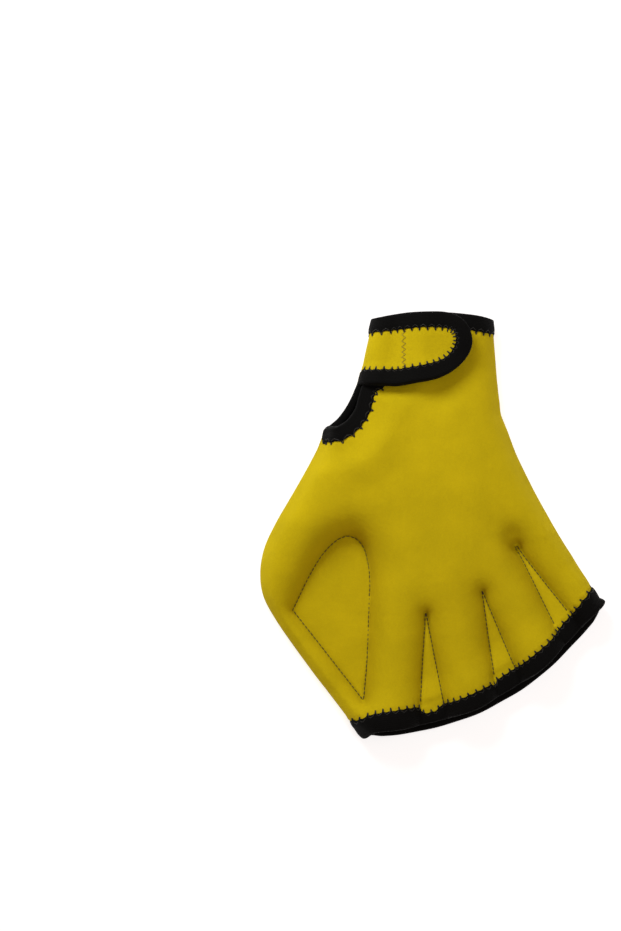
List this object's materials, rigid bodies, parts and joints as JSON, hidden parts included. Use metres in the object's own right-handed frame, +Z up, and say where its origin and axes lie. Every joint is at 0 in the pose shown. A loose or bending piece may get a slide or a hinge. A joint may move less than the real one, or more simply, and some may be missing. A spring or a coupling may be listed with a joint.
{
  "type": "webbed swim glove",
  "caption": "Fingerless webbed swim glove for the left hand, lying palm down: two sewn neoprene panels with darts, folded edge tape and a wrap-over wrist strap with a hook patch.",
  "frame": {"origin": "on the surface that the glove lies on, under the middle of its bounding box", "axes": "+Y from the finger edge to the wrist, -X to the thumb, +Z up out of the back of the hand"},
  "size_m": [0.1756, 0.2186, 0.0299],
  "materials": {
    "jersey": "mustard yellow knit jersey laminated to neoprene, matt with a soft sheen",
    "edge_tape": "black folded stretch tape with a fine rib, matt",
    "hook_tape": "black hook tape, matt"
  },
  "bodies": {
    "root": {"back_panel": "jersey", "palm_panel": "jersey", "wrist_strap": "jersey", "hook_patch": "hook_tape", "finger_binding": "edge_tape", "wrist_binding": "edge_tape", "slit_palm_binding": "edge_tape", "slit_back_binding": "edge_tape"}
  },
  "joints": []
}
